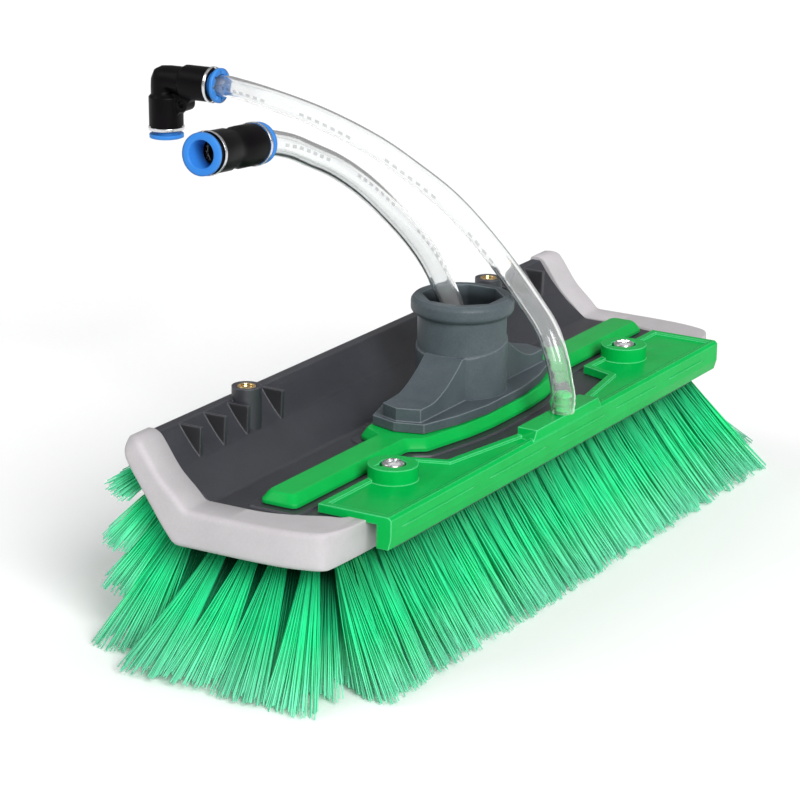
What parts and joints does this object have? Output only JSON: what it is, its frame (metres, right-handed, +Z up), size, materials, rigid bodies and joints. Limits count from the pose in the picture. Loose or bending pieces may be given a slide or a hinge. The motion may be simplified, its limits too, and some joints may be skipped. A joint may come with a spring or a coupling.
{
  "type": "water-fed wash brush head",
  "caption": "Curved wash brush head with soft end bumpers, a pole socket, a rinse plate and two clear hoses that end in push-fit fittings.",
  "frame": {"origin": "middle of the base of the box round the brush, without the hoses and fittings, at the bristles' ends", "axes": "+X along the brush, -Y towards the rinse plate, +Z up from the bristles to the pole socket"},
  "size_m": [0.3278, 0.2203, 0.1751],
  "materials": {
    "stock": "moulded, fine texture",
    "bumper": "soft, matt",
    "bar": "moulded, satin gloss",
    "plate": "moulded, satin gloss",
    "socket": "moulded, semi matt",
    "bristle": "extruded filament",
    "hose": "clear, smooth",
    "fitting": "moulded, satin",
    "collet": "moulded, gloss",
    "steel": "plated, bright",
    "brass": "turned, bright",
    "seal": "moulded, matt"
  },
  "bodies": {
    "brush": {"brush_stock": "stock", "bumper_left": "bumper", "bumper_right": "bumper", "carrier_bar": "bar", "pole_socket": "socket", "rinse_plate": "plate", "rinse_channel_strip": "plate", "plate_screw_left": "steel", "plate_screw_right": "steel", "front_insert_left": "brass", "front_insert_right": "brass", "rear_insert_left": "brass", "rear_insert_right": "brass", "socket_screw_left": "steel", "socket_screw_right": "steel", "inlet_barb": "socket", "base_bristles": "bristle", "wing_bristles": "bristle", "outer_hose": "hose", "inner_hose": "hose"},
    "elbow": {"elbow_body": "fitting", "elbow_hose_band": "steel", "elbow_hose_grab_ring": "steel", "elbow_hose_seal": "seal", "elbow_free_band": "steel", "elbow_free_grab_ring": "steel", "elbow_free_seal": "seal"},
    "union": {"union_body": "fitting", "union_hose_band": "steel", "union_hose_grab_ring": "steel", "union_hose_seal": "seal", "union_free_band": "steel", "union_free_grab_ring": "steel", "union_free_seal": "seal"},
    "elbow_hose_sleeve": {"elbow_hose_collet": "collet"},
    "elbow_free_sleeve": {"elbow_free_collet": "collet"},
    "union_hose_sleeve": {"union_hose_collet": "collet"},
    "union_free_sleeve": {"union_free_collet": "collet"}
  },
  "joints": [
    {"name": "elbow_swivel", "type": "hinge", "parent": "brush", "child": "elbow", "pos_m": [0.0523, 0.13788, 0.1378], "axis": [-0.02, 0.9996, -0.02], "continuous": true},
    {"name": "union_swivel", "type": "hinge", "parent": "brush", "child": "union", "pos_m": [-0.1258, 0.00508, 0.1658], "axis": [-0.9944, -0.052, 0.092], "continuous": true},
    {"name": "elbow_hose_release", "type": "slide", "parent": "elbow", "child": "elbow_hose_sleeve", "axis": [-0.02, 0.9996, -0.02], "range_m": [0, 0.0009], "stiffness_N_per_m": 150},
    {"name": "elbow_free_release", "type": "slide", "parent": "elbow", "child": "elbow_free_sleeve", "axis": [-0.0004, 0.02, 0.9998], "range_m": [0, 0.0009], "stiffness_N_per_m": 150},
    {"name": "union_hose_release", "type": "slide", "parent": "union", "child": "union_hose_sleeve", "axis": [-0.9944, -0.052, 0.092], "range_m": [0, 0.0009], "stiffness_N_per_m": 150},
    {"name": "union_free_release", "type": "slide", "parent": "union", "child": "union_free_sleeve", "axis": [0.9944, 0.052, -0.092], "range_m": [0, 0.0009], "stiffness_N_per_m": 150}
  ]
}
